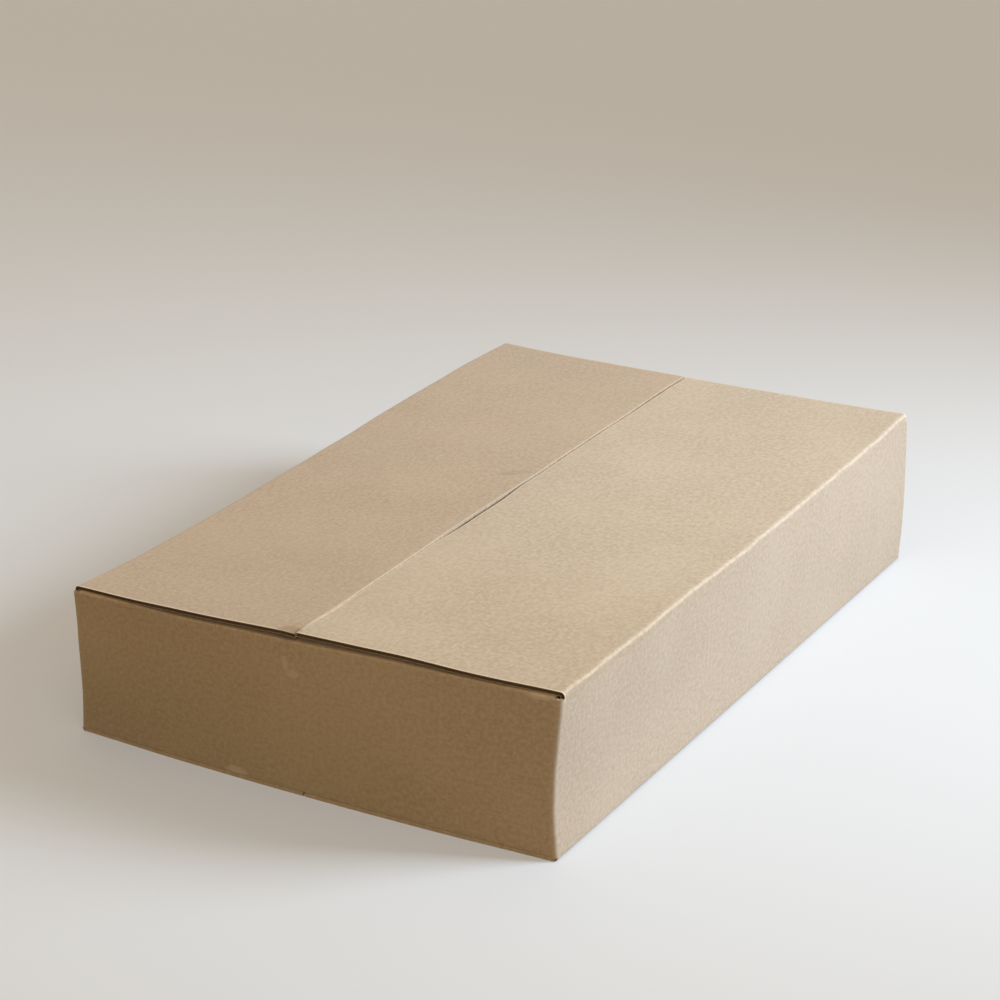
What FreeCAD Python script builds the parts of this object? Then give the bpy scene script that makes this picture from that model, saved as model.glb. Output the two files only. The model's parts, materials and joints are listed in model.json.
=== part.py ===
"""A low kraft slotted carton, closed: one folded and glued sheet with its two outer top flaps.

Frame: origin on the floor under the centre of the box, X across the width, Y along the length, Z up.
The seam between the outer flaps runs along Y.
"""
import math
import os

import FreeCAD
import Part
import Sketcher

DOCUMENT = "slotted_carton"
PARTS_FOLDER = "parts"

# Every driving dimension, in millimetres, with what it measures.
SIZES = {
    "box_length": (310, "outside, along the seam"),
    "box_width": (200, "outside, across the seam"),
    "box_height": (63, "outside, closed"),
    "board": (1.5, "thickness of the corrugated board"),
    "fold_inside": (0.5, "inside radius of a rounded fold"),
    "flap_setback": (2, "side edge of an outer flap, in from the end wall's outer face"),
    "tuck_clearance": (1.5, "side edge of a tucked flap, in from the long wall's inner face"),
    "layer_gap": (0.2, "air between a tucked top flap and the outer flap over it"),
    "top_seam": (1.2, "gap between the outer top flaps"),
    "bottom_seam": (0.8, "gap between the outer bottom flaps"),
    "tab_reach": (35, "glue tab, from the corner to its free edge"),
    "tab_taper": (8, "height that each end of the glue tab loses at its free edge"),
    "joint_setback": (2.5, "cut edge of the end wall glued over the tab, in from the corner"),
}

# Places worked out from the driving dimensions, as formulas of the document.
HALF_LENGTH = "Sizes.box_length / 2"
HALF_WIDTH = "Sizes.box_width / 2"
BOARD = "Sizes.board"
FOLD_OUTSIDE = "(Sizes.fold_inside + Sizes.board)"
OUTER_FLAP_LENGTH = "Sizes.box_length - 2 * Sizes.flap_setback"
TUCKED_FLAP_WIDTH = "Sizes.box_width - 2 * (Sizes.board + Sizes.tuck_clearance)"
FLAP_DEPTH = "(Sizes.box_width - Sizes.top_seam) / 2"
LONG_WALL_TOP = "Sizes.box_height - Sizes.board"
TUCKED_TOP = f"{LONG_WALL_TOP} - Sizes.layer_gap"
CORNER_LOW = f"{BOARD} + {FOLD_OUTSIDE}"
CORNER_HIGH = f"{TUCKED_TOP} - {FOLD_OUTSIDE}"

STRAIGHT = "straight"
ROUND_ON = "round that carries on from the edge before it"
ROUND_INTO = "round that runs into the edge after it"


def make_sheet(document):
    """Write the driving dimensions into a spreadsheet, one named cell each."""
    sheet = document.addObject("Spreadsheet::Sheet", "Sizes")
    for row, (name, (value, note)) in enumerate(SIZES.items(), start=1):
        sheet.set(f"A{row}", name)
        sheet.set(f"B{row}", str(value))
        sheet.set(f"C{row}", note)
        sheet.setAlias(f"B{row}", name)
    document.recompute()
    return sheet


def new_body(document, name):
    """A body whose label is its node's name."""
    body = document.addObject("PartDesign::Body", name)
    body.Label = name
    return body


def origin_plane(body, role):
    """One of the body's own origin planes, by its role."""
    return next(feature for feature in body.Origin.OriginFeatures if feature.Role == role)


def new_sketch(body, name, plane, height=None):
    """A sketch on an origin plane, raised along the plane's normal by a formula if one is given."""
    sketch = body.newObject("Sketcher::SketchObject", name)
    sketch.AttachmentSupport = [(origin_plane(body, plane), "")]
    sketch.MapMode = "FlatFace"
    if height:
        sketch.setExpression("AttachmentOffset.Base.z", height)
    body.Document.recompute()
    return sketch


def round_edge(start, end, centre):
    """The arc from start to end about centre, and which of its ends is the start."""
    radius = (start - centre).Length
    first = math.atan2(start.y - centre.y, start.x - centre.x)
    last = math.atan2(end.y - centre.y, end.x - centre.x)
    turn = (last - first + math.pi) % (2 * math.pi) - math.pi
    circle = Part.Circle(centre, FreeCAD.Vector(0, 0, 1), radius)
    if turn > 0:
        return Part.ArcOfCircle(circle, first, first + turn), 1, 2
    return Part.ArcOfCircle(circle, last, last - turn), 2, 1


def fix_point(sketch, edge, end, formulas):
    """Place one end of an edge by two formulas, measured from the sketch's origin."""
    for kind, axis, formula in (("DistanceX", -2, formulas[0]), ("DistanceY", -1, formulas[1])):
        if formula == "0":
            sketch.addConstraint(Sketcher.Constraint("PointOnObject", edge, end, axis))
            continue
        value = float(sketch.evalExpression(formula))
        place = sketch.addConstraint(Sketcher.Constraint(kind, -1, 1, edge, end, value))
        sketch.setExpression(f"Constraints[{place}]", formula)


def draw_outline(sketch, corners):
    """Close an outline through corners, each (first formula, second formula, edge to the next).

    A round edge is a quarter turn, so its centre is level with one end and plumb with the other.
    """
    points = [
        FreeCAD.Vector(*(float(sketch.evalExpression(formula)) for formula in corner[:2]), 0)
        for corner in corners
    ]
    kinds = [corner[2] for corner in corners]
    count = len(corners)
    base = sketch.GeometryCount
    ends = []
    for index, kind in enumerate(kinds):
        start = points[index]
        end = points[(index + 1) % count]
        if kind == STRAIGHT:
            sketch.addGeometry(Part.LineSegment(start, end), False)
            ends.append((1, 2))
            continue
        if kind == ROUND_ON:
            run = start - points[index - 1]
            level = abs(run.x) > abs(run.y)
        else:
            run = points[(index + 2) % count] - end
            level = abs(run.x) < abs(run.y)
        centre = FreeCAD.Vector(start.x, end.y, 0) if level else FreeCAD.Vector(end.x, start.y, 0)
        arc, first, last = round_edge(start, end, centre)
        sketch.addGeometry(arc, False)
        ends.append((first, last))
    for index, kind in enumerate(kinds):
        before = (index - 1) % count
        smooth = kind == ROUND_ON or kinds[before] == ROUND_INTO
        joint = "Tangent" if smooth else "Coincident"
        sketch.addConstraint(
            Sketcher.Constraint(joint, base + before, ends[before][1], base + index, ends[index][0])
        )
    for index, corner in enumerate(corners):
        fix_point(sketch, base + index, ends[index][0], corner[:2])


def add_pad(body, sketch, name, length, both_ways):
    """Extrude a sketch by a formula, up from it or half to each side."""
    pad = body.newObject("PartDesign::Pad", name)
    pad.Profile = sketch
    pad.setExpression("Length", length)
    pad.Midplane = both_ways
    body.Document.recompute()
    return pad


def add_mirror(body, feature, name, plane):
    """Repeat a feature on the other side of an origin plane."""
    mirror = body.newObject("PartDesign::Mirrored", name)
    mirror.Originals = [feature]
    mirror.MirrorPlane = (origin_plane(body, plane), [""])
    body.Tip = mirror
    body.Document.recompute()
    return mirror


def glue_tab(body):
    """Half the left wall, folded round the far corner into the tab that is glued inside the end wall."""
    left = f"-{HALF_WIDTH}"
    free_edge = f"{left} + Sizes.tab_reach"
    end_wall_inside = f"{HALF_LENGTH} - {BOARD}"
    fold_start = f"{end_wall_inside} - {FOLD_OUTSIDE}"
    sketch = new_sketch(body, "tab_plan", "XY_Plane", CORNER_LOW)
    draw_outline(sketch, [
        (left, "0", STRAIGHT),
        (left, fold_start, ROUND_ON),
        (f"{left} + {FOLD_OUTSIDE}", end_wall_inside, STRAIGHT),
        (free_edge, end_wall_inside, STRAIGHT),
        (free_edge, f"{end_wall_inside} - {BOARD}", STRAIGHT),
        (f"{left} + {FOLD_OUTSIDE}", f"{end_wall_inside} - {BOARD}", ROUND_ON),
        (f"{left} + {BOARD}", fold_start, STRAIGHT),
        (f"{left} + {BOARD}", "0", STRAIGHT),
    ])
    add_pad(body, sketch, "glue_tab", f"{CORNER_HIGH} - ({CORNER_LOW})", False)

    taper = new_sketch(body, "tab_taper_outline", "XZ_Plane")
    for edge, toward in ((CORNER_LOW, "+"), (CORNER_HIGH, "-")):
        draw_outline(taper, [
            (f"{left} + {FOLD_OUTSIDE}", edge, STRAIGHT),
            (free_edge, edge, STRAIGHT),
            (free_edge, f"{edge} {toward} Sizes.tab_taper", STRAIGHT),
        ])
    pocket = body.newObject("PartDesign::Pocket", "tab_taper")
    pocket.Profile = taper
    pocket.Type = "ThroughAll"
    pocket.Midplane = True
    body.Document.recompute()


def wall_ring(body):
    """The four walls round three vertical folds, from the lapped end wall's cut edge to the left wall."""
    right = HALF_WIDTH
    left = f"-{HALF_WIDTH}"
    far = HALF_LENGTH
    near = f"-{HALF_LENGTH}"
    cut_edge = f"{left} + Sizes.joint_setback"
    sketch = new_sketch(body, "wall_plan", "XY_Plane", CORNER_LOW)
    draw_outline(sketch, [
        (cut_edge, far, STRAIGHT),
        (f"{right} - {FOLD_OUTSIDE}", far, ROUND_ON),
        (right, f"{far} - {FOLD_OUTSIDE}", STRAIGHT),
        (right, f"{near} + {FOLD_OUTSIDE}", ROUND_ON),
        (f"{right} - {FOLD_OUTSIDE}", near, STRAIGHT),
        (f"{left} + {FOLD_OUTSIDE}", near, ROUND_ON),
        (left, f"{near} + {FOLD_OUTSIDE}", STRAIGHT),
        (left, "0", STRAIGHT),
        (f"{left} + {BOARD}", "0", STRAIGHT),
        (f"{left} + {BOARD}", f"{near} + {FOLD_OUTSIDE}", ROUND_ON),
        (f"{left} + {FOLD_OUTSIDE}", f"{near} + {BOARD}", STRAIGHT),
        (f"{right} - {FOLD_OUTSIDE}", f"{near} + {BOARD}", ROUND_ON),
        (f"{right} - {BOARD}", f"{near} + {FOLD_OUTSIDE}", STRAIGHT),
        (f"{right} - {BOARD}", f"{far} - {FOLD_OUTSIDE}", ROUND_ON),
        (f"{right} - {FOLD_OUTSIDE}", f"{far} - {BOARD}", STRAIGHT),
        (cut_edge, f"{far} - {BOARD}", STRAIGHT),
    ])
    add_pad(body, sketch, "walls", f"{CORNER_HIGH} - ({CORNER_LOW})", False)


def long_sides(body):
    """Each long wall with the outer bottom flap that folds in under it, up to the top flap's fold."""
    right = HALF_WIDTH
    free_edge = "Sizes.bottom_seam / 2"
    sketch = new_sketch(body, "long_side_section", "XZ_Plane")
    draw_outline(sketch, [
        (free_edge, "0", STRAIGHT),
        (f"{right} - {FOLD_OUTSIDE}", "0", ROUND_ON),
        (right, FOLD_OUTSIDE, STRAIGHT),
        (right, LONG_WALL_TOP, STRAIGHT),
        (f"{right} - {BOARD}", LONG_WALL_TOP, STRAIGHT),
        (f"{right} - {BOARD}", FOLD_OUTSIDE, ROUND_ON),
        (f"{right} - {FOLD_OUTSIDE}", BOARD, STRAIGHT),
        (free_edge, BOARD, STRAIGHT),
    ])
    side = add_pad(body, sketch, "right_side", OUTER_FLAP_LENGTH, True)
    add_mirror(body, side, "left_side", "YZ_Plane")


def end_sides(body):
    """Each end wall with its tucked flaps: the top one under the outer flaps, the bottom one over them."""
    far = HALF_LENGTH
    free_edge = f"{far} - {FLAP_DEPTH}"
    fold = f"{far} - {FOLD_OUTSIDE}"
    sketch = new_sketch(body, "end_side_section", "YZ_Plane")
    draw_outline(sketch, [
        (free_edge, BOARD, STRAIGHT),
        (fold, BOARD, ROUND_ON),
        (far, CORNER_LOW, STRAIGHT),
        (far, CORNER_HIGH, ROUND_ON),
        (fold, TUCKED_TOP, STRAIGHT),
        (free_edge, TUCKED_TOP, STRAIGHT),
        (free_edge, f"{TUCKED_TOP} - {BOARD}", STRAIGHT),
        (fold, f"{TUCKED_TOP} - {BOARD}", ROUND_ON),
        (f"{far} - {BOARD}", CORNER_HIGH, STRAIGHT),
        (f"{far} - {BOARD}", CORNER_LOW, ROUND_ON),
        (fold, f"2 * {BOARD}", STRAIGHT),
        (free_edge, f"2 * {BOARD}", STRAIGHT),
    ])
    end = add_pad(body, sketch, "far_end", TUCKED_FLAP_WIDTH, True)
    add_mirror(body, end, "near_end", "XZ_Plane")


def make_carton(document):
    """The folded sheet: walls, glue tab, bottom flaps and tucked top flaps, as one piece."""
    body = new_body(document, "carton")
    glue_tab(body)
    wall_ring(body)
    long_sides(body)
    end_sides(body)
    return body


def make_top_flap(document, side_name, side):
    """An outer top flap, its fold rounded over the long wall; side is 1 for right and -1 for left."""
    body = new_body(document, f"top_flap_{side_name}")
    free_edge = f"{side} * Sizes.top_seam / 2"
    fold_edge = f"{side} * {HALF_WIDTH}"
    sketch = new_sketch(body, f"{side_name}_flap_section", "XZ_Plane")
    draw_outline(sketch, [
        (free_edge, LONG_WALL_TOP, STRAIGHT),
        (fold_edge, LONG_WALL_TOP, ROUND_INTO),
        (f"{side} * ({HALF_WIDTH} - {BOARD})", "Sizes.box_height", STRAIGHT),
        (free_edge, "Sizes.box_height", STRAIGHT),
    ])
    add_pad(body, sketch, f"{side_name}_flap", OUTER_FLAP_LENGTH, True)
    return body


def check(document, bodies):
    """Stop if any object failed or any piece isn't one valid solid."""
    for item in document.Objects:
        if "Invalid" in item.State or "Error" in item.State:
            raise RuntimeError(f"{item.Label} failed: {item.State}")
    for body in bodies:
        shape = body.Shape
        if shape.isNull() or not shape.isValid() or len(shape.Solids) != 1:
            raise RuntimeError(f"{body.Label} isn't one valid solid")


def main():
    document = FreeCAD.newDocument(DOCUMENT)
    make_sheet(document)
    bodies = [make_carton(document)]
    for side_name, side in (("right", 1), ("left", -1)):
        bodies.append(make_top_flap(document, side_name, side))
    document.recompute()
    check(document, bodies)
    os.makedirs(PARTS_FOLDER, exist_ok=True)
    for body in bodies:
        body.Shape.exportStep(os.path.join(PARTS_FOLDER, f"{body.Label}.step"))
        box = body.Shape.BoundBox
        print(
            f"{body.Label}: {body.Shape.Volume:.1f} mm3,"
            f" X {box.XMin:.2f} to {box.XMax:.2f},"
            f" Y {box.YMin:.2f} to {box.YMax:.2f},"
            f" Z {box.ZMin:.2f} to {box.ZMax:.2f}"
        )


main()
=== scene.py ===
import json
import math

import bmesh
import bpy
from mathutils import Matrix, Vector

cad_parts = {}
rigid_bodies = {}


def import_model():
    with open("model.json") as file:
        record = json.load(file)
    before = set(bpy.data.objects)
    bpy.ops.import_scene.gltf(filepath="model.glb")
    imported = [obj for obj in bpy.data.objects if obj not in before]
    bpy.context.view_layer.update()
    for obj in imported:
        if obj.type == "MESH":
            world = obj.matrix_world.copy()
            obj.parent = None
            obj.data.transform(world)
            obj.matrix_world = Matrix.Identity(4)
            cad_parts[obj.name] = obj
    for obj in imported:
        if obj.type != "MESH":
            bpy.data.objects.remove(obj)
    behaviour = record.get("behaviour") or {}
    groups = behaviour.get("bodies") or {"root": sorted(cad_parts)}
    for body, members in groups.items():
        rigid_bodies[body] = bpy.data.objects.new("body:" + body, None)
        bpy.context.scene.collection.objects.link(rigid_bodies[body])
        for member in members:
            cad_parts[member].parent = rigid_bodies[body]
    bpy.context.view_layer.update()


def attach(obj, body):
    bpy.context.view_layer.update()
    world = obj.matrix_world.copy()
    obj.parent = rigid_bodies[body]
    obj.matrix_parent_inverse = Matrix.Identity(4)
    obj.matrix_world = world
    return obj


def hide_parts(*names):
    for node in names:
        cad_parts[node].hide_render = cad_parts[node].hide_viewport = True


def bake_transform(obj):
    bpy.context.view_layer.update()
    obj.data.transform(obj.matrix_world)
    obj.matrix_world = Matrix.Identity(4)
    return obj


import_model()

MM = 0.001

# The box and its board
BOX_LENGTH = 310 * MM
BOX_WIDTH = 200 * MM
BOX_HEIGHT = 63 * MM
BOARD = 1.5 * MM
FOLD_RADIUS = 1.6 * MM
END_FOLD_RADIUS = 0.8 * MM
FOOT_FOLD_RADIUS = 0.4 * MM
FOLD_STEPS = 5
FLAP_DEPTH = 99.4 * MM
LONG_FLAP_HALF = 153 * MM
END_FLAP_HALF = 97 * MM
WALL_FOOT = 3.5 * MM
WALL_HEAD = 59.6 * MM
CORNER_RISE = 1.2 * MM
CORNER_DROP = 2.2 * MM
TUCKED_TOP = 61.3 * MM
TUCKED_BOTTOM = 1.5 * MM
TOP_SEAM_HALF = 0.6 * MM
BOTTOM_SEAM_HALF = 0.4 * MM

# The glue tab in the far left corner
TAB_REACH = 35 * MM
TAB_TAPER = 8 * MM
JOINT_SETBACK = 2.5 * MM

# The wavy middle paper of the board, as its cut edges show it
FLUTES_ON_LONG_FLAP = 93
FLUTES_ON_END_FLAP = 59
FLUTE_LEAN = 0.5 * MM
FLUTE_WALL = 0.17 * MM
FLUTE_DENT = 0.06 * MM
LINER = 0.13 * MM
HOLLOW_DEPTH = 1.6 * MM

# How finely the sheets are cut, so that they can bow
FLAP_STEPS = 16
OUTER_FLAP_STEPS = 20
WALL_STEPS = 13
FOLD_MARGIN = 1 * MM
EDGE_STRIP = 0.5 * MM

# How near to a place a point has to be to count as there
CLOSE = 0.02 * MM

# How far the used box's corners have moved, in millimetres along x, y and z
TOP_MOVES = {
    "near_left": (0.6, -4.7, -2.8),
    "near_right": (2.0, 1.8, -0.8),
    "far_left": (2.0, 5.3, 0.5),
    "far_right": (0.2, 2.2, 2.1),
}
FOOT_MOVES = {
    "near_left": (-1.5, -0.4, 0.0),
    "near_right": (1.8, -0.4, 0.0),
    "far_left": (0.0, 0.0, 0.0),
    "far_right": (2.4, -3.5, 0.0),
}

# How far its edges bow between the corners, in millimetres
NEAR_TOP_BOW = (-5.0, 0.0, 0.2)
FAR_TOP_BOW = (-3.6, -4.0, 0.2)
LEFT_FOLD_BOW = (0.3, 0.0, -1.2)
LEFT_FOLD_EARLY_SAG = 1.4
RIGHT_FOLD_BOW = (0.0, 0.0, -1.8)
RIGHT_FOLD_EARLY_SAG = -0.5
TOP_CROWN = 1.8
END_WALL_FOOT_BOW = 2.8
NEAR_CORNER_HOLLOW = -1.6
LEFT_CORNER_HOLLOW = 1.2
RIGHT_CORNER_HOLLOW = 1.2

# How many points the wear cage has across, along and up the box
CAGE_POINTS = (7, 11, 6)

# How the near end of the loose flaps has settled: a move and how far it spreads,
# in millimetres
NEAR_EDGE_MOVE = (1.0, -1.8, 0.6)
RIGHT_EDGE_REACH = 22
LEFT_EDGE_REACH = 42
RIGHT_EDGE_LIFT = ((0, 0, 0.8), 32)
RIGHT_EDGE_LIFT_WIDTH = 45

# How the two seam edges miss each other: from and to along the box, the move and
# how far it spreads, in millimetres
LEFT_SEAM_MOVES = (
    (-153, -60, (0.5, 0, 0.5), 30),
    (-45, -15, (-0.25, 0, 0.15), 25),
    (20, 100, (0.3, 0, 0.25), 25),
    (130, 153, (0.1, 0, 0.2), 25),
)
RIGHT_SEAM_MOVES = (
    (-153, -60, (-0.45, 0, -0.1), 25),
    (-42, -12, (0.35, 0, -0.1), 20),
    (20, 95, (-0.2, 0, -0.1), 25),
)

# Knocks and sags at the near end: a move and how far it spreads, in millimetres
SEAM_CORNER_KNOCK = ((-0.3, 0.5, -0.6), 6)
LEFT_CORNER_KNOCK = ((0.2, 1.0, 0), 40)
END_FOLD_KNOCK = ((0, 1.2, 0.2), 25)
END_FOLD_SAG = ((0, 0, -0.6), 40)
BOTTOM_FLAPS_SLIP = ((0, -1.9, 0), 12)

# Ripples of the board: their size, height and direction, and how far up the box
# they are in full
RIPPLES = (
    (45 * MM, 1.2 * MM, "X"),
    (60 * MM, 0.8 * MM, "Z"),
)
FULL_RIPPLE_FROM = 30 * MM

# The camera: its place in metres, tilt and turn in degrees, and lens and sensor in
# millimetres
CAMERA_PLACE = (0.48569, -0.86530, 0.45297)
CAMERA_TILT = 68.36
CAMERA_TURN = 29.79
CAMERA_LENS = 97
CAMERA_SENSOR = 36

# The lamps, in metres and watts, and how wide they shine, in degrees
WINDOW = {
    "place": (0.98, 0.50, 0.53),
    "aim": (0, 0, 0.04),
    "size": 0.55,
    "power": 3.0,
    "colour": (0.68, 0.82, 1.0),
}
FILL = {
    "place": (0.75, -0.75, 0.35),
    "aim": (0.05, -0.15, 0.03),
    "size": 0.5,
    "power": 0.2,
    "colour": (0.8, 0.85, 0.85),
}
LAMP_SPREAD = 60

# The floor and the backdrop: the pale colours and the glow are what is seen, and the
# bounce and the light are what reaches the box from them
FLOOR_SIZE = 12
FLOOR_PALE = (0.72, 0.71, 0.69)
FLOOR_GLOW = (0.11, 0.14, 0.17, 1)
FLOOR_BOUNCE = (0.17, 0.135, 0.09)
BACKDROP_PALE = (0.80, 0.79, 0.77)
BACKDROP_LIGHT = (0.50, 0.385, 0.248)

# The paper's colours
LINER_DARK = (0.451, 0.317, 0.177, 1)
LINER_LIGHT = (0.499, 0.357, 0.205, 1)
MOTTLE_COLOUR = (0.614, 0.464, 0.296, 1)
FIBRE_COLOUR = (0.365, 0.246, 0.130, 1)
FLECK_COLOUR = (0.27, 0.19, 0.11, 1)
# Pale worn paper, also used for the painted highlights along the folds, posts and rims
WORN_AND_HIGHLIGHT = (0.74, 0.63, 0.48, 1)
# Pale scuffs, also the painted highlight on the near wall's top fold
SCUFF_AND_HIGHLIGHT = (0.72, 0.60, 0.42, 1)
SMUDGED = (0.30, 0.21, 0.12, 1)
# A darker brown for the patch at the seam's near corner
SEAM_CORNER_DARK = (0.30, 0.19, 0.09, 1)
CUT_DARK = (0.45, 0.32, 0.20, 1)
CUT_LIGHT = (0.58, 0.44, 0.31, 1)
# Painted shade: the dark browns inside the hollow behind a side edge
HOLLOW_DARK = (0.20, 0.115, 0.045, 1)
HOLLOW_LIGHT = (0.27, 0.165, 0.07, 1)

# What the paper's colour is multiplied by for painted light and shade: paler and bluer on the
# right flap and wall, darker towards the near end of the top and low on the end walls
# Painted light: the right flap paler and bluer, as where the cool window lamp grazes it
TOP_SHEEN_TINT = (1.14, 1.23, 1.37, 1)
# Painted light: the right wall bluer, as lit by the cool window lamp
SIDE_LIGHT_TINT = (0.96, 1.01, 1.19, 1)
# Painted shade: darker and browner towards the near end of the top flaps
NEAR_SHADE_TINT = (0.955, 0.93, 0.87, 1)
# Painted shade: darker low on the end walls and towards their left
END_FOOT_SHADE_TINT = (0.88, 0.89, 0.86, 1)

# How fine the paper's patterns are, per millimetre
BLOTCHES = 0.022
MOTTLE = 0.6
FLECKS = 1.7
FIBRES_ACROSS = 1.6
FIBRES_ALONG = 0.20
RAGGEDNESS = 0.35
FOLD_WANDER = 0.05
CUT_MOTTLE = 0.9
HOLLOW_MOTTLE = 0.5

# How strongly the posts are worn paler and highlighted and the flaps' rims get a painted
# highlight, and how far the worn, highlighted line along a fold wanders, in millimetres
POST_WEAR_AND_HIGHLIGHT = 0.12
RIM_HIGHLIGHT = 0.7
WANDER_REACH = 2.0

# The marks: middle and reach in millimetres, turn in degrees, strength and colour
MARKS = (
    ((-9.0, 16.0, 63), (8, 3.4, 30), 43, 0.35, SMUDGED),
    # A darker patch at the seam's near corner
    ((-3.5, -151.5, 62.5), (6, 4.0, 4), 0, 0.7, SEAM_CORNER_DARK),
    ((-4.0, -155, 52.5), (1.8, 30, 3.4), 0, 0.3, SCUFF_AND_HIGHLIGHT),
    ((-1.0, -155, 48.5), (3.2, 30, 1.6), 0, 0.35, SCUFF_AND_HIGHLIGHT),
    ((-29, -155, 3), (5, 30, 2), 0, 0.5, SCUFF_AND_HIGHLIGHT),
    # Painted highlight: a thin pale line on the near wall's top fold, by the right corner
    ((92, -155, 60.4), (6, 10, 0.9), 0, 0.5, SCUFF_AND_HIGHLIGHT),
)


# Selecting and cutting in edit mode

def near(value, place):
    return abs(value - place) < CLOSE


def choose(obj):
    """Makes this the only selected object and the active one."""
    bpy.ops.object.select_all(action="DESELECT")
    bpy.context.view_layer.objects.active = obj
    obj.select_set(True)


def edit(obj):
    choose(obj)
    bpy.ops.object.mode_set(mode="EDIT")
    bpy.ops.mesh.select_all(action="DESELECT")


def leave():
    bpy.ops.object.mode_set(mode="OBJECT")


def pick(kind, test, facing=None):
    """Selects the corners, edges or faces whose every corner passes the test."""
    mode = {"verts": "VERT", "edges": "EDGE", "faces": "FACE"}[kind]
    bpy.ops.mesh.select_mode(type=mode)
    bpy.ops.mesh.select_all(action="DESELECT")
    data = bpy.context.object.data
    mesh = bmesh.from_edit_mesh(data)
    mesh.normal_update()
    for item in getattr(mesh, kind):
        corners = [item] if kind == "verts" else item.verts
        if not all(test(corner.co) for corner in corners):
            continue
        if facing is not None and item.normal.dot(Vector(facing)) < 0.8:
            continue
        item.select_set(True)
    bmesh.update_edit_mesh(data)


def across(axis, place):
    """A cutting plane square across an axis."""
    point = Vector((0, 0, 0))
    point[axis] = place
    normal = Vector((0, 0, 0))
    normal[axis] = 1
    return {"plane_co": point, "plane_no": normal}


def cut(axis, places, only=None):
    """Cuts the mesh square across an axis at each place."""
    for place in places:
        if only is None:
            bpy.ops.mesh.select_all(action="SELECT")
        else:
            pick("faces", only)
        bpy.ops.mesh.bisect(**across(axis, place))


def spread(first, last, steps):
    """Places from first to last, both included."""
    return [first + (last - first) * step / steps for step in range(steps + 1)]


def flap_cuts(free_edge, fold, steps):
    """Places for cuts along a flap, between its free edge and its fold."""
    last = fold - FOLD_RADIUS
    return spread(free_edge, last, steps)[1:-1] + [last - FOLD_MARGIN]


def extrude(move):
    bpy.ops.mesh.extrude_region_move(TRANSFORM_OT_translate={"value": move})


def round_fold(radius=FOLD_RADIUS):
    bpy.ops.mesh.bevel(
        offset=radius, segments=FOLD_STEPS, profile=0.5, affect="EDGES", clamp_overlap=False
    )


def assign(obj, finish):
    """Gives the selected faces one of the object's finishes."""
    obj.active_material_index = obj.data.materials.find(finish)
    bpy.ops.object.material_slot_assign()


def apply_modifier(obj, kind, **settings):
    choose(obj)
    modifier = obj.modifiers.new(kind.lower(), kind)
    for name, value in settings.items():
        setattr(modifier, name, value)
    bpy.ops.object.modifier_apply(modifier=modifier.name)


def tidy_sheet(obj):
    edit(obj)
    bpy.ops.mesh.select_all(action="SELECT")
    bpy.ops.mesh.remove_doubles(threshold=CLOSE)
    leave()


# The carton: four walls, the tucked top flaps, the bottom flaps and the glue tab

def wall_ring():
    """Four walls between the flap scores, open above and below."""
    height = WALL_HEAD - WALL_FOOT
    bpy.ops.mesh.primitive_cube_add(
        size=1,
        location=(0, 0, WALL_FOOT + height / 2),
        scale=(BOX_WIDTH, BOX_LENGTH, height),
    )
    ring = bpy.context.object
    ring.name = "carton_board"
    bpy.ops.object.transform_apply(location=True, rotation=True, scale=True)
    edit(ring)
    pick("faces", lambda p: near(p.z, WALL_HEAD))
    bpy.ops.mesh.delete(type="ONLY_FACE")
    pick("faces", lambda p: near(p.z, WALL_FOOT))
    bpy.ops.mesh.delete(type="ONLY_FACE")
    leave()
    return ring


def glue_tab(carton):
    """The left wall folds on to a tab behind the far wall, whose own edge is cut."""
    far = BOX_LENGTH / 2
    left = -BOX_WIDTH / 2
    lap = far - BOARD
    edit(carton)
    cut(0, [left + JOINT_SETBACK], only=lambda p: near(p.y, far))
    pick("faces", lambda p: near(p.y, far) and p.x < left + JOINT_SETBACK + CLOSE)
    bpy.ops.mesh.delete(type="ONLY_FACE")
    pick("edges", lambda p: near(p.y, far) and p.x < left + JOINT_SETBACK + CLOSE)
    pick_loose_edges()
    bpy.ops.mesh.delete(type="EDGE")
    pick("edges", lambda p: near(p.y, far) and near(p.x, left))
    bpy.ops.transform.translate(value=(0, -BOARD, 0))
    extrude((TAB_REACH, 0, 0))
    for level, shift in ((WALL_HEAD, -TAB_TAPER), (WALL_FOOT, TAB_TAPER)):
        tip = (left + TAB_REACH, lap, level)
        pick("verts", lambda p: all(near(part, goal) for part, goal in zip(p, tip)))
        bpy.ops.transform.translate(value=(0, 0, shift))
    leave()


def pick_loose_edges():
    """Keeps only those selected edges that no face uses."""
    data = bpy.context.object.data
    mesh = bmesh.from_edit_mesh(data)
    for edge in mesh.edges:
        if edge.link_faces:
            edge.select_set(False)
    bmesh.update_edit_mesh(data)


def corner_folds(carton):
    edit(carton)
    x, y = BOX_WIDTH / 2, BOX_LENGTH / 2
    corners = [(x, -y), (x, y), (-x, -y), (-x, y - BOARD)]
    pick("edges", lambda p: any(near(p.x, cx) and near(p.y, cy) for cx, cy in corners))
    round_fold()
    leave()


def slot_and_flute_cuts(carton):
    """Cuts at the slots' sides and at every half flute, along each wall."""
    edit(carton)
    half_width = BOX_WIDTH / 2 - CLOSE
    long_places = spread(-LONG_FLAP_HALF, LONG_FLAP_HALF, 2 * FLUTES_ON_LONG_FLAP)
    cut(1, long_places, only=lambda p: abs(p.x) > half_width)
    half_length = BOX_LENGTH / 2 - BOARD - CLOSE
    end_places = spread(-END_FLAP_HALF, END_FLAP_HALF, 2 * FLUTES_ON_END_FLAP)
    cut(0, end_places, only=lambda p: abs(p.y) > half_length)
    leave()


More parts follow.
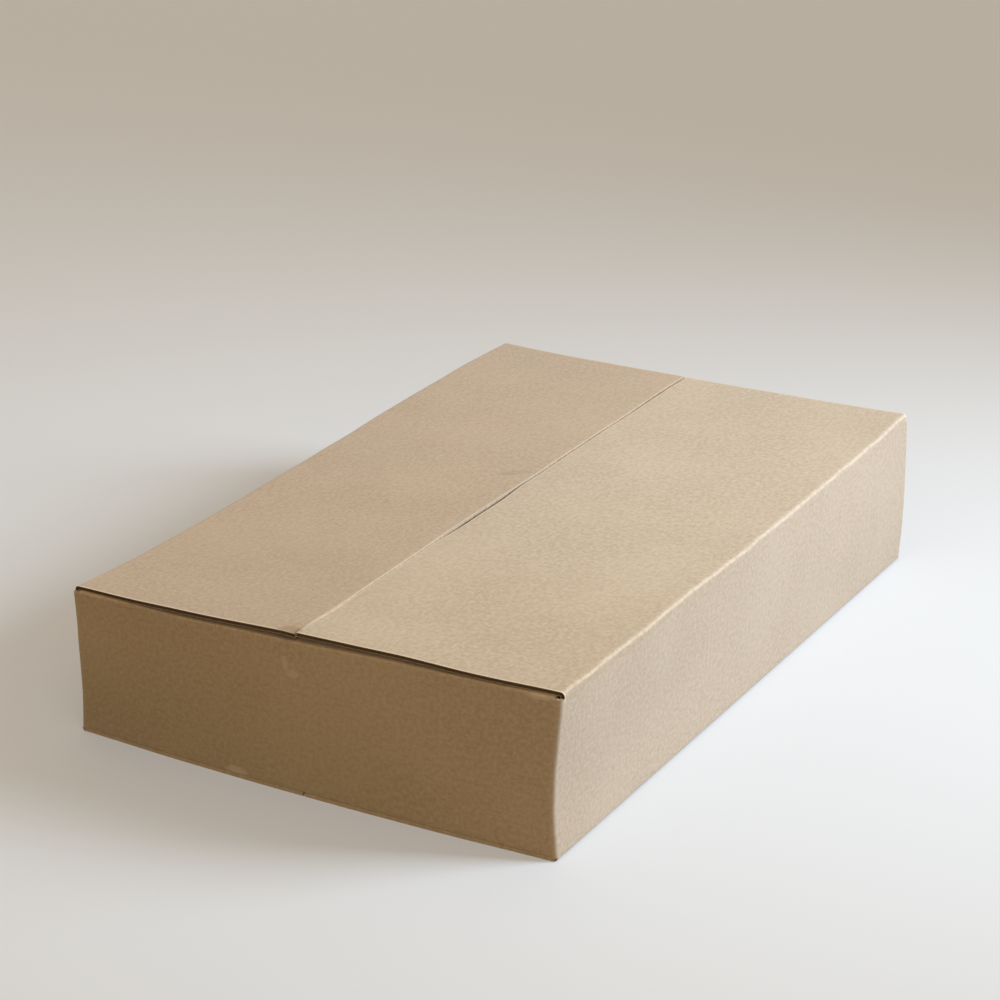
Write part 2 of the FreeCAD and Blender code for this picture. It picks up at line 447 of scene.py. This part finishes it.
def corner_posts(carton):
    """The corners reach a little past the scores, as far as the slots."""
    edit(carton)
    for level, rise in ((WALL_HEAD, CORNER_RISE), (WALL_FOOT, -CORNER_DROP)):
        for side in (-1, 1):
            for end in (-1, 1):

                def at_corner(p):
                    return (
                        near(p.z, level)
                        and side * p.x > END_FLAP_HALF - CLOSE
                        and end * p.y > LONG_FLAP_HALF - CLOSE
                    )

                pick("edges", at_corner)
                extrude((0, 0, rise))
    leave()


def end_flaps(carton):
    """The tucked flaps of both end walls, above and below."""
    half_length = BOX_LENGTH / 2
    places = flap_cuts(half_length - FLAP_DEPTH, half_length, FLAP_STEPS)
    for side in (-1, 1):
        y = side * half_length
        for level, fold, radius in (
            (WALL_HEAD, TUCKED_TOP, END_FOLD_RADIUS),
            (WALL_FOOT, TUCKED_BOTTOM, FOOT_FOLD_RADIUS),
        ):

            def at_score(p):
                return near(p.y, y) and near(p.z, level) and abs(p.x) < END_FLAP_HALF + CLOSE

            edit(carton)
            pick("edges", at_score)
            extrude((0, 0, fold - level))
            extrude((0, -side * FLAP_DEPTH, 0))
            pick("edges", lambda p: near(p.y, y) and near(p.z, fold))
            round_fold(radius)
            cut(1, [side * place for place in places], only=lambda p: near(p.z, fold))
            leave()


def bottom_long_flaps(carton):
    """The two flaps that the box stands on, which meet along its middle."""
    half_width = BOX_WIDTH / 2
    places = flap_cuts(BOTTOM_SEAM_HALF, half_width, FLAP_STEPS)
    for side in (-1, 1):
        x = side * half_width

        def at_score(p):
            return near(p.x, x) and near(p.z, WALL_FOOT) and abs(p.y) < LONG_FLAP_HALF + CLOSE

        edit(carton)
        pick("edges", at_score)
        extrude((0, 0, -WALL_FOOT))
        extrude((side * (BOTTOM_SEAM_HALF - half_width), 0, 0))
        pick("edges", lambda p: near(p.x, x) and near(p.z, 0))
        round_fold()
        cut(0, [side * place for place in places], only=lambda p: near(p.z, 0))
        leave()


def wall_rows(carton):
    """Level cuts up the walls, so that they can bow."""
    edit(carton)
    low, high = WALL_FOOT - CLOSE, WALL_HEAD + CLOSE
    cut(2, spread(WALL_FOOT, WALL_HEAD, WALL_STEPS)[1:-1], only=lambda p: low < p.z < high)
    leave()


def turn_outwards(obj, place, direction):
    """Makes every face of a sheet look outwards, told by one face."""
    edit(obj)
    bpy.ops.mesh.select_all(action="SELECT")
    bpy.ops.mesh.normals_make_consistent(inside=False)
    leave()
    nearest = min(obj.data.polygons, key=lambda face: (face.center - Vector(place)).length)
    if nearest.normal.dot(Vector(direction)) < 0:
        edit(obj)
        bpy.ops.mesh.select_all(action="SELECT")
        bpy.ops.mesh.flip_normals()
        leave()


# The outer top flaps, each with its fold and the wall's last few millimetres

def outer_flap_sheet():
    """The right flap as one thin sheet, its outer face where the board's is."""
    reach = BOX_WIDTH / 2 - TOP_SEAM_HALF
    bpy.ops.mesh.primitive_plane_add(
        size=1,
        location=(TOP_SEAM_HALF + reach / 2, 0, BOX_HEIGHT),
    )
    flap = bpy.context.object
    flap.name = "right_top_flap"
    flap.scale = (reach, 2 * LONG_FLAP_HALF, 1)
    bpy.ops.object.transform_apply(location=True, rotation=True, scale=True)
    edit(flap)
    pick("edges", lambda p: near(p.x, BOX_WIDTH / 2))
    extrude((0, 0, WALL_HEAD - BOX_HEIGHT))
    pick("edges", lambda p: near(p.x, BOX_WIDTH / 2) and near(p.z, BOX_HEIGHT))
    round_fold()
    places = flap_cuts(TOP_SEAM_HALF, BOX_WIDTH / 2, OUTER_FLAP_STEPS)
    places.append(TOP_SEAM_HALF + EDGE_STRIP)
    cut(0, places, only=lambda p: near(p.z, BOX_HEIGHT))
    cut(1, spread(-LONG_FLAP_HALF, LONG_FLAP_HALF, 2 * FLUTES_ON_LONG_FLAP)[1:-1])
    cut(1, [EDGE_STRIP - LONG_FLAP_HALF, LONG_FLAP_HALF - EDGE_STRIP])
    leave()
    return flap


def mirrored_copy(obj, name):
    """The same sheet on the other side of the seam."""
    bpy.ops.object.select_all(action="DESELECT")
    copy = obj.copy()
    copy.data = obj.data.copy()
    copy.name = name
    copy.data.name = name
    bpy.context.collection.objects.link(copy)
    edit(copy)
    bpy.ops.mesh.select_all(action="SELECT")
    bpy.ops.transform.resize(value=(-1, 1, 1), center_override=(0, 0, 0))
    leave()
    return copy


# What the board is made of

def remember_places(obj, outer_flap):
    """Keeps each point's place on the unworn box, for the materials."""
    mesh = obj.data
    place = mesh.attributes.new("board_place", "FLOAT_VECTOR", "POINT")
    for vertex, value in zip(mesh.vertices, place.data):
        value.vector = vertex.co
    is_flap = mesh.attributes.new("outer_flap", "FLOAT", "POINT")
    for value in is_flap.data:
        value.value = outer_flap


def give_thickness(obj):
    """Adds the inner liner and the cut edges, and marks which points are inside."""
    outer = len(obj.data.vertices)
    apply_modifier(
        obj,
        "SOLIDIFY",
        thickness=BOARD,
        offset=-1,
        use_even_offset=True,
        use_quality_normals=True,
        material_offset_rim=1,
    )
    ply = obj.data.attributes.new("ply", "FLOAT", "POINT")
    for index, value in enumerate(ply.data):
        value.value = 0.0 if index < outer else 1.0


def hollow_edge(obj, test, facing):
    """Opens the hollow between the liners, where a flap is cut along its flutes."""
    edit(obj)
    pick("faces", test, facing=facing)
    bpy.ops.mesh.inset(thickness=LINER, use_boundary=True, use_even_offset=True)
    extrude([-HOLLOW_DEPTH * part for part in facing])
    bpy.ops.mesh.select_more()
    # The hollow's faces get the painted shade finish
    assign(obj, "painted_shade_hollow")
    leave()


def fluted_edge(obj, axis, half_span, steps, test, facing, level):
    """Presses the flutes' ends into an edge that is cut across them."""
    pitch = 2 * half_span / steps
    edit(obj)
    for odd in (0, 1):
        for upper in (False, True):
            lean = FLUTE_LEAN if bool(odd) == upper else -FLUTE_LEAN

            def chosen(p):
                index = round((p[axis] + half_span) / pitch)
                inside = 0 < index < steps
                on_step = near(p[axis], index * pitch - half_span)
                return (
                    test(p) and inside and on_step
                    and index % 2 == odd and (p.z > level) == upper
                )

            pick("verts", chosen)
            move = [0, 0, 0]
            move[axis] = lean
            bpy.ops.transform.translate(value=move)
    pick("faces", test, facing=facing)
    bpy.ops.mesh.inset(
        thickness=FLUTE_WALL, depth=-FLUTE_DENT, use_individual=True, use_even_offset=True
    )
    leave()


# Wear: the cage that pushes the box out of square, ripples and soft pulls

def bow(along):
    """Nothing at both ends and one in the middle."""
    return 4 * along * (1 - along)


def early_bow(along):
    """Down in the first half and up in the second."""
    return 2.6 * bow(along) * (2 * along - 1)


def low_bow(along):
    """Nothing at both ends, and most below the middle."""
    return bow(along) * (1.7 - 1.4 * along)


def between(moves, across_box, along_box):
    """The corners' moves, shared out over the box between them."""
    near_edge = Vector(moves["near_left"]).lerp(Vector(moves["near_right"]), across_box)
    far_edge = Vector(moves["far_left"]).lerp(Vector(moves["far_right"]), across_box)
    return near_edge.lerp(far_edge, along_box)


def worn_move(place):
    """How far the used box has moved at a place on the square one."""
    across_box = place.x / BOX_WIDTH + 0.5
    along_box = place.y / BOX_LENGTH + 0.5
    up = place.z / BOX_HEIGHT
    nearness, farness = 1 - along_box, along_box
    leftness, rightness = 1 - across_box, across_box
    top = between(TOP_MOVES, across_box, along_box)
    ends_bow = nearness * Vector(NEAR_TOP_BOW) + farness * Vector(FAR_TOP_BOW)
    folds_bow = leftness * Vector(LEFT_FOLD_BOW) + rightness * Vector(RIGHT_FOLD_BOW)
    early_sag = leftness * LEFT_FOLD_EARLY_SAG + rightness * RIGHT_FOLD_EARLY_SAG
    top += bow(across_box) * ends_bow
    top += bow(along_box) * folds_bow
    top.z += early_bow(along_box) * early_sag
    top.z += bow(across_box) * bow(along_box) * TOP_CROWN
    foot = between(FOOT_MOVES, across_box, along_box)
    foot.y -= nearness * bow(across_box) * END_WALL_FOOT_BOW
    move = foot.lerp(top, up)
    left_hollow = nearness * leftness * LEFT_CORNER_HOLLOW
    right_hollow = farness * rightness * RIGHT_CORNER_HOLLOW
    move.x += low_bow(up) * nearness * rightness * NEAR_CORNER_HOLLOW
    move.x += bow(up) * (left_hollow + right_hollow)
    return move * MM


def wear_cage():
    """A cage of points round the box, moved as the used box has."""
    bpy.ops.object.select_all(action="DESELECT")
    middle = Vector((0, 0, BOX_HEIGHT / 2))
    size = Vector((BOX_WIDTH, BOX_LENGTH, BOX_HEIGHT))
    bpy.ops.object.add(type="LATTICE", location=middle)
    cage = bpy.context.object
    cage.name = "wear_cage"
    cage.scale = size
    grid = cage.data
    grid.points_u, grid.points_v, grid.points_w = CAGE_POINTS
    for direction in "uvw":
        setattr(grid, "interpolation_type_" + direction, "KEY_CARDINAL")
    for point in grid.points:
        place = middle + Vector(a * b for a, b in zip(point.co, size))
        move = worn_move(place)
        point.co_deform = point.co + Vector(a / b for a, b in zip(move, size))
    bpy.context.view_layer.update()
    return cage


def keep_foot_flat(obj):
    """Weights that fade the ripples out towards the floor."""
    group = obj.vertex_groups.new(name="above_foot")
    for vertex in obj.data.vertices:
        weight = min(max(vertex.co.z / FULL_RIPPLE_FROM, 0), 1)
        group.add([vertex.index], weight, "REPLACE")
    return group.name


def ripple(obj, size, height, direction):
    """Gentle unevenness of the board, the same for pieces that touch."""
    group = keep_foot_flat(obj)
    cloud = bpy.data.textures.new("ripple", "CLOUDS")
    cloud.noise_scale = size
    cloud.noise_depth = 1
    apply_modifier(
        obj, "DISPLACE", texture=cloud, texture_coords="LOCAL", direction=direction,
        strength=height, mid_level=0.5, vertex_group=group,
    )
    obj.vertex_groups.clear()
    bpy.data.textures.remove(cloud)


def pull(obj, test, move, reach, pinned=None):
    """Moves the chosen points and, less and less, those round them, in millimetres."""
    edit(obj)
    if pinned is not None:
        pick("verts", pinned)
        bpy.ops.mesh.hide(unselected=False)
    pick("verts", test)
    bpy.ops.transform.translate(
        value=[part * MM for part in move],
        use_proportional_edit=True,
        proportional_edit_falloff="SMOOTH",
        proportional_size=reach * MM,
        use_proportional_connected=True,
    )
    bpy.ops.mesh.reveal(select=False)
    leave()


def on_flap(p):
    return p.z > BOX_HEIGHT - BOARD - CLOSE and abs(p.x) < BOX_WIDTH / 2 - FOLD_RADIUS + CLOSE


def on_wall_strip(p):
    return abs(p.x) > BOX_WIDTH / 2 - BOARD - CLOSE and p.z < WALL_HEAD + 1 * MM


def seam_edge(side, low, high):
    """Tells the points of a flap's seam edge between two places along the box."""
    return lambda p: side * p.x < TOP_SEAM_HALF + 0.6 * MM and low * MM < p.y < high * MM


def settle_flaps(right, left):
    """The used flaps lie loosely: they stand out at the near end and miss each other."""
    near_end = -LONG_FLAP_HALF + 0.3 * MM
    for flap, reach in ((right, RIGHT_EDGE_REACH), (left, LEFT_EDGE_REACH)):
        straight = BOX_WIDTH / 2 - reach * MM
        pull(
            flap, lambda p: p.y < near_end and on_flap(p) and abs(p.x) < straight,
            NEAR_EDGE_MOVE, reach, pinned=on_wall_strip,
        )
    lifted = RIGHT_EDGE_LIFT_WIDTH * MM
    pull(
        right, lambda p: p.y < near_end and on_flap(p) and p.x < lifted,
        *RIGHT_EDGE_LIFT, pinned=on_wall_strip,
    )
    for flap, side, moves in ((left, -1, LEFT_SEAM_MOVES), (right, 1, RIGHT_SEAM_MOVES)):
        for low, high, move, reach in moves:
            pull(flap, seam_edge(side, low, high), move, reach, pinned=on_wall_strip)


def crush_corners(carton, left):
    """Knocks at the near end: both ends of the left flap, and the wall below it."""
    end = -LONG_FLAP_HALF
    by_end = end + 2 * MM
    by_seam, by_fold, by_corner = -4 * MM, -94 * MM, -75 * MM
    fold_foot = 61 * MM
    end_fold_foot = TUCKED_TOP - END_FOLD_RADIUS - CLOSE
    pull(left, lambda p: p.y < by_end and p.x > by_seam, *SEAM_CORNER_KNOCK)
    pull(
        left, lambda p: p.y < by_end and p.x < by_fold and p.z > fold_foot,
        *LEFT_CORNER_KNOCK, pinned=on_wall_strip,
    )
    pull(
        carton, lambda p: p.z > end_fold_foot and p.x < by_corner and p.y < end,
        *END_FOLD_KNOCK,
    )


def sag_end_fold(carton):
    """The near wall's fold has sunk to the left of the seam, and the floor flaps have slipped."""
    end = -LONG_FLAP_HALF
    fold_foot = TUCKED_TOP - END_FOLD_RADIUS - CLOSE
    sunk_from, held_below = -45 * MM, 8 * MM
    pull(
        carton, lambda p: p.z > fold_foot and p.y < end and sunk_from < p.x < 0,
        *END_FOLD_SAG, pinned=lambda p: p.z < held_below,
    )
    sheet_top, clear_of_folds = BOARD + CLOSE, 98 * MM
    pull(
        carton, lambda p: p.z < sheet_top and near(p.y, end) and abs(p.x) < clear_of_folds,
        *BOTTOM_FLAPS_SLIP, pinned=lambda p: p.z > sheet_top,
    )


# The camera, the floor and the light

def camera():
    bpy.ops.object.camera_add(
        location=CAMERA_PLACE,
        rotation=(math.radians(CAMERA_TILT), 0, math.radians(CAMERA_TURN)),
    )
    view = bpy.context.object
    view.name = "camera"
    view.data.lens = CAMERA_LENS
    view.data.sensor_width = CAMERA_SENSOR
    bpy.context.scene.camera = view


def seen_directly(tree):
    """One for what the camera sees, also in gloss and glass, and nothing for bounced light."""
    rays = tree.nodes.new("ShaderNodeLightPath")
    first = tree.nodes.new("ShaderNodeMath")
    first.operation = "MAXIMUM"
    tree.links.new(rays.outputs["Is Camera Ray"], first.inputs[0])
    tree.links.new(rays.outputs["Is Glossy Ray"], first.inputs[1])
    second = tree.nodes.new("ShaderNodeMath")
    second.operation = "MAXIMUM"
    tree.links.new(first.outputs[0], second.inputs[0])
    tree.links.new(rays.outputs["Is Transmission Ray"], second.inputs[1])
    return second.outputs[0]


def pale_for_the_camera(tree, pale, seen_by_light):
    """Shows a pale colour to the camera and a dimmer one to the light that bounces."""
    mix = tree.nodes.new("ShaderNodeMix")
    mix.data_type = "RGBA"
    tree.links.new(seen_directly(tree), mix.inputs["Factor"])
    mix.inputs["A"].default_value = (*seen_by_light, 1)
    mix.inputs["B"].default_value = (*pale, 1)
    return mix.outputs["Result"]


def floor():
    bpy.ops.mesh.primitive_plane_add(size=FLOOR_SIZE, location=(0, 0, 0))
    ground = bpy.context.object
    ground.name = "floor"
    material = bpy.data.materials.new("pale_floor")
    material.use_nodes = True
    tree = material.node_tree
    shader = tree.nodes["Principled BSDF"]
    shader.inputs["Roughness"].default_value = 0.9
    shader.inputs["Specular IOR Level"].default_value = 0.1
    colour = pale_for_the_camera(tree, FLOOR_PALE, FLOOR_BOUNCE)
    tree.links.new(colour, shader.inputs["Base Color"])
    shader.inputs["Emission Color"].default_value = FLOOR_GLOW
    tree.links.new(seen_directly(tree), shader.inputs["Emission Strength"])
    ground.data.materials.append(material)


def lamp(name, place, aim, size, power, colour):
    """One soft square lamp, turned to shine on a point."""
    bpy.ops.object.light_add(type="AREA", location=place)
    light = bpy.context.object
    light.name = name
    light.rotation_euler = (Vector(aim) - Vector(place)).to_track_quat("-Z", "Y").to_euler()
    light.data.shape = "RECTANGLE"
    light.data.size = size
    light.data.size_y = size
    light.data.spread = math.radians(LAMP_SPREAD)
    light.data.energy = power
    light.data.color = colour


def studio():
    lamp("window_side", **WINDOW)
    lamp("fill_side", **FILL)
    world = bpy.data.worlds.new("studio")
    bpy.context.scene.world = world
    world.use_nodes = True
    tree = world.node_tree
    colour = pale_for_the_camera(tree, BACKDROP_PALE, BACKDROP_LIGHT)
    tree.links.new(colour, tree.nodes["Background"].inputs["Color"])
    tree.nodes["Background"].inputs["Strength"].default_value = 1.0
    bpy.context.scene.view_settings.view_transform = "Standard"


# Materials

class Nodes:
    """A short way to add and join a material's nodes."""

    def __init__(self, name):
        self.material = bpy.data.materials.new(name)
        self.material.use_nodes = True
        self.tree = self.material.node_tree
        self.shader = self.tree.nodes["Principled BSDF"]

    def put(self, socket, value):
        if isinstance(value, bpy.types.NodeSocket):
            self.tree.links.new(value, socket)
        else:
            socket.default_value = value

    def attribute(self, name, output):
        node = self.tree.nodes.new("ShaderNodeAttribute")
        node.attribute_name = name
        return node.outputs[output]

    def math(self, operation, first, second=0.0):
        node = self.tree.nodes.new("ShaderNodeMath")
        node.operation = operation
        self.put(node.inputs[0], first)
        self.put(node.inputs[1], second)
        return node.outputs[0]

    def times(self, first, *others):
        """All the numbers multiplied together."""
        product = first
        for other in others:
            product = self.math("MULTIPLY", product, other)
        return product

    def fade(self, value, start, end, low=0.0, high=1.0):
        """A smooth step from low at start to high at end."""
        node = self.tree.nodes.new("ShaderNodeMapRange")
        node.interpolation_type = "SMOOTHSTEP"
        self.put(node.inputs["Value"], value)
        node.inputs["From Min"].default_value = start
        node.inputs["From Max"].default_value = end
        node.inputs["To Min"].default_value = low
        node.inputs["To Max"].default_value = high
        return node.outputs["Result"]

    def scaled(self, vector, scale):
        node = self.tree.nodes.new("ShaderNodeMapping")
        self.put(node.inputs["Vector"], vector)
        node.inputs["Scale"].default_value = scale
        return node.outputs["Vector"]

    def noise(self, vector, scale, detail=2.0, rough=0.5):
        node = self.tree.nodes.new("ShaderNodeTexNoise")
        self.put(node.inputs["Vector"], vector)
        node.inputs["Scale"].default_value = scale
        node.inputs["Detail"].default_value = detail
        node.inputs["Roughness"].default_value = rough
        return node.outputs["Fac"]

    def mix(self, factor, first, second, blend="MIX"):
        node = self.tree.nodes.new("ShaderNodeMix")
        node.data_type = "RGBA"
        node.blend_type = blend
        self.put(node.inputs["Factor"], factor)
        self.put(node.inputs["A"], first)
        self.put(node.inputs["B"], second)
        return node.outputs["Result"]

    def split(self, vector):
        node = self.tree.nodes.new("ShaderNodeSeparateXYZ")
        self.put(node.inputs[0], vector)
        return node.outputs[0], node.outputs[1], node.outputs[2]

    def blend(self, factor, first, second):
        """From the first number at nothing to the second at one."""
        node = self.tree.nodes.new("ShaderNodeMix")
        node.data_type = "FLOAT"
        self.put(node.inputs["Factor"], factor)
        self.put(node.inputs["A"], first)
        self.put(node.inputs["B"], second)
        return node.outputs["Result"]

    def spot(self, place, centre, reach, turn, ragged):
        """One inside a ragged patch and nothing outside it."""
        node = self.tree.nodes.new("ShaderNodeMapping")
        node.vector_type = "TEXTURE"
        self.put(node.inputs["Vector"], place)
        node.inputs["Location"].default_value = centre
        node.inputs["Rotation"].default_value = (0, 0, math.radians(turn))
        node.inputs["Scale"].default_value = reach
        length = self.tree.nodes.new("ShaderNodeVectorMath")
        length.operation = "LENGTH"
        self.put(length.inputs[0], node.outputs["Vector"])
        uneven = self.math("ADD", length.outputs["Value"], self.math("SUBTRACT", ragged, 0.5))
        return self.fade(uneven, 0.55, 1.05, 1.0, 0.0)

    def bump(self, height, distance, strength):
        node = self.tree.nodes.new("ShaderNodeBump")
        self.put(node.inputs["Height"], height)
        node.inputs["Distance"].default_value = distance
        node.inputs["Strength"].default_value = strength
        return node.outputs["Normal"]

    def place_on_box(self):
        """Each point's place on the unworn box, in millimetres."""
        return self.scaled(self.attribute("board_place", "Vector"), (1 / MM, 1 / MM, 1 / MM))


def plain_paper(m, place, on_end, mottle):
    """Broad blotches, mottle, fibres that lie level along the walls, and dark flecks."""
    blotch = m.noise(place, BLOTCHES, 2.0)
    side_scale = (FIBRES_ACROSS, FIBRES_ALONG, FIBRES_ACROSS)
    side_fibre = m.noise(m.scaled(place, side_scale), 1.0, 3.0, 0.6)
    end_scale = (FIBRES_ALONG, FIBRES_ACROSS, FIBRES_ACROSS)
    end_fibre = m.noise(m.scaled(place, end_scale), 1.0, 3.0, 0.6)
    fibre = m.blend(on_end, side_fibre, end_fibre)
    fleck = m.noise(place, FLECKS, 2.0, 0.5)
    colour = m.mix(m.fade(blotch, 0.3, 0.7), LINER_DARK, LINER_LIGHT)
    colour = m.mix(m.fade(mottle, 0.35, 0.65, 0.0, 0.6), colour, MOTTLE_COLOUR)
    colour = m.mix(m.fade(fibre, 0.5, 0.7, 0.0, 0.4), colour, FIBRE_COLOUR)
    return m.mix(m.fade(fleck, 0.66, 0.76, 0.0, 0.5), colour, FLECK_COLOUR)


def painted_light_tints(m, colour, place, on_end, outside):
    """Painted light and shade: the right flap and wall paler and bluer, the top browner towards
    the near end, and the end walls darker low down and to the left.
    """
    x, y, z = m.split(place)
    on_top = m.times(m.attribute("outer_flap", "Fac"), outside)
    # Painted light on the right flap
    top_sheen = m.times(m.fade(x, -3, 3), on_top, m.fade(x, 99.6, 98.6))
    # Painted light on the right wall
    side_light = m.times(m.fade(x, 98.6, 99.6), outside)
    # Painted shade towards the near end of the top
    near_shade = m.times(m.fade(y, 40, -150), on_top)
    # Painted shade low on the end walls, towards the left
    end_foot_shade = m.times(m.fade(z, 55, 5), on_end, m.fade(x, 90, 10))
    for amount, tint in (
        (top_sheen, TOP_SHEEN_TINT),
        (side_light, SIDE_LIGHT_TINT),
        (near_shade, NEAR_SHADE_TINT),
        (end_foot_shade, END_FOOT_SHADE_TINT),
    ):
        colour = m.mix(amount, colour, tint, blend="MULTIPLY")
    return colour


def wear_and_highlights(m, colour, place, mottle, outside):
    """Pale along the long top folds and at the upright corners, worn paler and with a painted
    highlight, and a painted highlight on the flaps' rims.
    """
    x, y, z = m.split(place)
    across, along = m.math("ABSOLUTE", x), m.math("ABSOLUTE", y)
    to_side = m.math("SUBTRACT", BOX_WIDTH / 2 / MM, across)
    to_end = m.math("SUBTRACT", BOX_LENGTH / 2 / MM, along)
    to_top = m.math("SUBTRACT", BOX_HEIGHT / MM, z)

    # The worn line along each long top fold, also a painted highlight
    wave = m.noise(m.scaled(place, (0, FOLD_WANDER, 0)), 1.0, 1.0)
    wander = m.times(m.math("SUBTRACT", wave, 0.5), WANDER_REACH)
    round_fold_way = m.math("ADD", m.math("SUBTRACT", to_side, to_top), wander)
    band = m.fade(m.math("ABSOLUTE", round_fold_way), 0.3, 1.2, 1.0, 0.0)
    at_fold = m.fade(m.math("ADD", to_side, to_top), 2.6, 4.0, 1.0, 0.0)
    patchy = m.fade(mottle, 0.3, 0.6, 0.3, 0.5)
    colour = m.mix(m.times(band, at_fold, outside, patchy), colour, WORN_AND_HIGHLIGHT)

    # The upright corners, worn and with a painted highlight
    post = m.fade(m.math("ADD", to_side, to_end), 1.0, 2.6, 1.0, 0.0)
    colour = m.mix(m.times(post, outside, POST_WEAR_AND_HIGHLIGHT), colour, WORN_AND_HIGHLIGHT)

    # Painted highlight on the flaps' rims
    rim = m.math("MAXIMUM", m.fade(along, 151.7, 152.7), m.fade(across, 1.3, 0.9))
    return m.mix(m.times(rim, m.attribute("outer_flap", "Fac"), RIM_HIGHLIGHT), colour, WORN_AND_HIGHLIGHT)


def marks(m, colour, place, outside):
    """The smudge, a darker patch at the seam's near corner, the scuffs, and a painted highlight
    on the near wall's top fold.
    """
    ragged = m.noise(place, RAGGEDNESS, 3.0, 0.6)
    for centre, reach, turn, strength, tone in MARKS:
        mark = m.spot(place, centre, reach, turn, ragged)
        colour = m.mix(m.times(mark, outside, strength), colour, tone)
    return colour


def kraft_liner():
    """The brown paper on both faces of the board, paler where it is worn and where highlights are
    painted, and tinted with painted light and shade.
    """
    m = Nodes("kraft_liner")
    place = m.place_on_box()
    outside = m.math("SUBTRACT", 1.0, m.attribute("ply", "Fac"))
    on_end = m.fade(m.math("ABSOLUTE", m.split(place)[1]), 153.8, 154.8)
    mottle = m.noise(place, MOTTLE, 4.0, 0.65)
    colour = plain_paper(m, place, on_end, mottle)
    colour = painted_light_tints(m, colour, place, on_end, outside)
    colour = wear_and_highlights(m, colour, place, mottle, outside)
    colour = marks(m, colour, place, outside)
    m.put(m.shader.inputs["Base Color"], colour)
    m.shader.inputs["Roughness"].default_value = 0.8
    m.shader.inputs["Specular IOR Level"].default_value = 0.4
    m.shader.inputs["Sheen Weight"].default_value = 0.3
    m.shader.inputs["Sheen Roughness"].default_value = 0.5
    m.put(m.shader.inputs["Normal"], m.bump(mottle, 0.012 * MM, 0.6))
    return m.material


def cut_board():
    """The raw edge of the board, where the knife went through it."""
    m = Nodes("cut_board")
    mottle = m.noise(m.place_on_box(), CUT_MOTTLE, 3.0, 0.6)
    colour = m.mix(m.fade(mottle, 0.3, 0.7), CUT_DARK, CUT_LIGHT)
    m.put(m.shader.inputs["Base Color"], colour)
    m.shader.inputs["Roughness"].default_value = 0.9
    m.shader.inputs["Specular IOR Level"].default_value = 0.2
    return m.material


def painted_shade_hollow():
    """The unlit space between the liners, behind a side edge, its darkness painted shade in a
    darker brown than the board's own.
    """
    m = Nodes("painted_shade_hollow")
    mottle = m.noise(m.place_on_box(), HOLLOW_MOTTLE, 2.0)
    m.put(m.shader.inputs["Base Color"], m.mix(mottle, HOLLOW_DARK, HOLLOW_LIGHT))
    m.shader.inputs["Roughness"].default_value = 0.95
    return m.material


# Putting the box together

def build_carton(finishes):
    carton = wall_ring()
    glue_tab(carton)
    corner_folds(carton)
    slot_and_flute_cuts(carton)
    corner_posts(carton)
    end_flaps(carton)
    bottom_long_flaps(carton)
    wall_rows(carton)
    tidy_sheet(carton)
    turn_outwards(carton, (BOX_WIDTH / 2, 0, BOX_HEIGHT / 2), (1, 0, 0))
    for finish in finishes:
        carton.data.materials.append(finish)
    remember_places(carton, 0.0)
    give_thickness(carton)
    cut_edges_of_carton(carton)
    return carton


def cut_edges_of_carton(carton):
    """Flutes show at the tucked flaps' free edges, and hollows at their sides."""
    inner = BOX_LENGTH / 2 - FLAP_DEPTH
    clear_of_fold = BOX_LENGTH / 2 - 4 * MM
    for side in (-1, 1):
        for low in (TUCKED_BOTTOM, TUCKED_TOP - BOARD):
            high = low + BOARD

            def in_board(p):
                return low - CLOSE < p.z < high + CLOSE and abs(p.y) < clear_of_fold

            def at_side(p):
                return near(p.x, side * END_FLAP_HALF) and in_board(p)

            def at_free_edge(p):
                return near(p.y, side * inner) and in_board(p)

            hollow_edge(carton, at_side, (side, 0, 0))
            fluted_edge(
                carton, 0, END_FLAP_HALF, 2 * FLUTES_ON_END_FLAP,
                at_free_edge, (0, -side, 0), low + BOARD / 2,
            )
    paper_over_floor_flap_ends(carton)


def paper_over_floor_flap_ends(carton):
    """The ends of the flaps that the box stands on are rubbed as brown as its walls."""
    edit(carton)
    pick("faces", lambda p: near(abs(p.y), LONG_FLAP_HALF) and p.z < BOARD + CLOSE)
    assign(carton, "kraft_liner")
    leave()


def build_outer_flaps(finishes):
    right = outer_flap_sheet()
    tidy_sheet(right)
    left = mirrored_copy(right, "left_top_flap")
    for flap, side in ((right, 1), (left, -1)):
        turn_outwards(flap, (side * 50 * MM, 0, BOX_HEIGHT), (0, 0, 1))
        for finish in finishes:
            flap.data.materials.append(finish)
        remember_places(flap, 1.0)
        give_thickness(flap)
        for end in (-1, 1):
            hollow_edge(flap, lambda p: near(p.y, end * LONG_FLAP_HALF), (0, end, 0))
        fluted_edge(
            flap, 1, LONG_FLAP_HALF, 2 * FLUTES_ON_LONG_FLAP,
            lambda p: near(p.x, side * TOP_SEAM_HALF), (-side, 0, 0), BOX_HEIGHT - BOARD / 2,
        )
    return right, left


def wear(carton, right, left):
    cage = wear_cage()
    sag_end_fold(carton)
    settle_flaps(right, left)
    crush_corners(carton, left)
    for piece in (carton, right, left):
        apply_modifier(piece, "LATTICE", object=cage)
        for size, height, direction in RIPPLES:
            ripple(piece, size, height, direction)
    bpy.data.objects.remove(cage)


def finish_surface(obj):
    choose(obj)
    bpy.ops.object.shade_smooth_by_angle(angle=math.radians(35))


camera()
floor()
studio()
board_finishes = (kraft_liner(), cut_board(), painted_shade_hollow())
carton = build_carton(board_finishes)
right_flap, left_flap = build_outer_flaps(board_finishes)
wear(carton, right_flap, left_flap)
for piece in (carton, right_flap, left_flap):
    finish_surface(piece)

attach(carton, "carton")
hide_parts("carton")
for flap, body, node, side in (
    (right_flap, "flap_right", "top_flap_right", 1),
    (left_flap, "flap_left", "top_flap_left", -1),
):
    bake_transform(flap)
    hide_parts(node)
